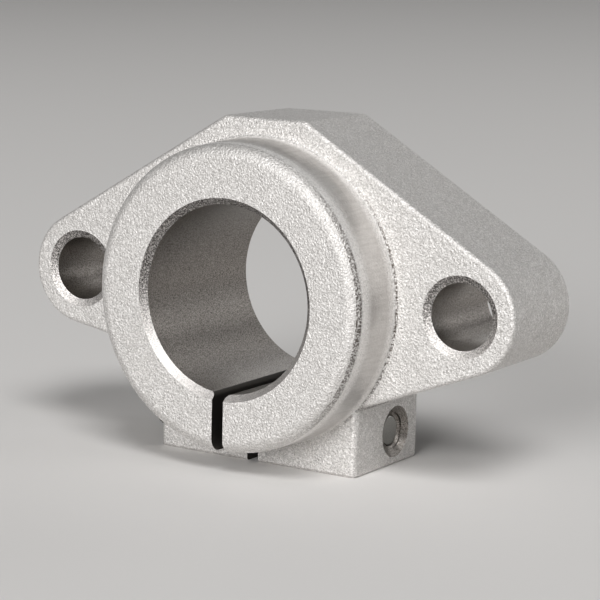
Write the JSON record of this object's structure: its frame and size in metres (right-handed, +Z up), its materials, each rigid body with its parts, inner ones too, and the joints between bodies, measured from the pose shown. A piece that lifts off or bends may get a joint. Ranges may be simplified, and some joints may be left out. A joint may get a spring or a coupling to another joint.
{
  "type": "horizontal shaft support",
  "caption": "Flanged clamping support that holds a round shaft square to a wall, with bolt ears and a slit foot closed by a cross screw.",
  "frame": {"origin": "on the shaft's axis, in the plane of the mounting face, midway between the two bolt holes", "axes": "+X along the two bolt ears with the tapped end of the clamp screw towards +X, +Y out of the mounting face along the shaft, +Z up from the foot to the flat top"},
  "size_m": [0.0604, 0.02, 0.037],
  "materials": {
    "cast_aluminium": "blasted, with a fine grain, and machined smooth in the bores",
    "screw_steel": "plain bright steel with a fine turned grain"
  },
  "bodies": {
    "root": {"support_body": "cast_aluminium", "clamp_screw": "screw_steel"}
  },
  "joints": []
}
